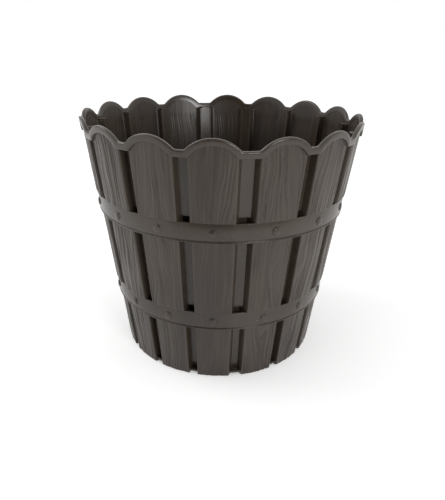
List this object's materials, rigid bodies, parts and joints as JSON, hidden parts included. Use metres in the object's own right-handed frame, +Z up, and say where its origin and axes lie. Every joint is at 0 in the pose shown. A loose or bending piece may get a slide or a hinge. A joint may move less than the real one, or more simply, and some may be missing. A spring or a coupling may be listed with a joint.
{
  "type": "flower pot",
  "caption": "Round tapering plastic flower pot made like a half barrel, with scalloped staves, two riveted hoops, a scalloped lip and a drained floor.",
  "frame": {"origin": "centre of the pot on the ground plane that the staves stand on", "axes": "+Z up along the pot's axis; -Y is the front, through the middle of one of the two wide gaps"},
  "size_m": [0.3036, 0.3032, 0.27],
  "materials": {
    "stave_plastic": "satin, moulded wood grain",
    "strip_plastic": "satin, smooth",
    "hoop_plastic": "satin, smooth",
    "rivet_plastic": "satin, smooth",
    "lip_plastic": "satin, smooth",
    "floor_plastic": "dull, smooth"
  },
  "bodies": {
    "root": {"stave_01": "stave_plastic", "stave_02": "stave_plastic", "stave_03": "stave_plastic", "stave_04": "stave_plastic", "stave_05": "stave_plastic", "stave_06": "stave_plastic", "stave_07": "stave_plastic", "stave_08": "stave_plastic", "stave_09": "stave_plastic", "stave_10": "stave_plastic", "stave_11": "stave_plastic", "stave_12": "stave_plastic", "stave_13": "stave_plastic", "stave_14": "stave_plastic", "stave_15": "stave_plastic", "stave_16": "stave_plastic", "gap_strip_01": "strip_plastic", "gap_strip_02": "strip_plastic", "gap_strip_03": "strip_plastic", "gap_strip_04": "strip_plastic", "gap_strip_05": "strip_plastic", "gap_strip_06": "strip_plastic", "gap_strip_07": "strip_plastic", "gap_strip_08": "strip_plastic", "gap_strip_09": "strip_plastic", "gap_strip_10": "strip_plastic", "gap_strip_11": "strip_plastic", "gap_strip_12": "strip_plastic", "gap_strip_13": "strip_plastic", "gap_strip_14": "strip_plastic", "gap_strip_15": "strip_plastic", "gap_strip_16": "strip_plastic", "lower_hoop": "hoop_plastic", "upper_hoop": "hoop_plastic", "lower_hoop_rivets": "rivet_plastic", "upper_hoop_rivets": "rivet_plastic", "rim_lip": "lip_plastic", "pot_floor": "floor_plastic"}
  },
  "joints": []
}
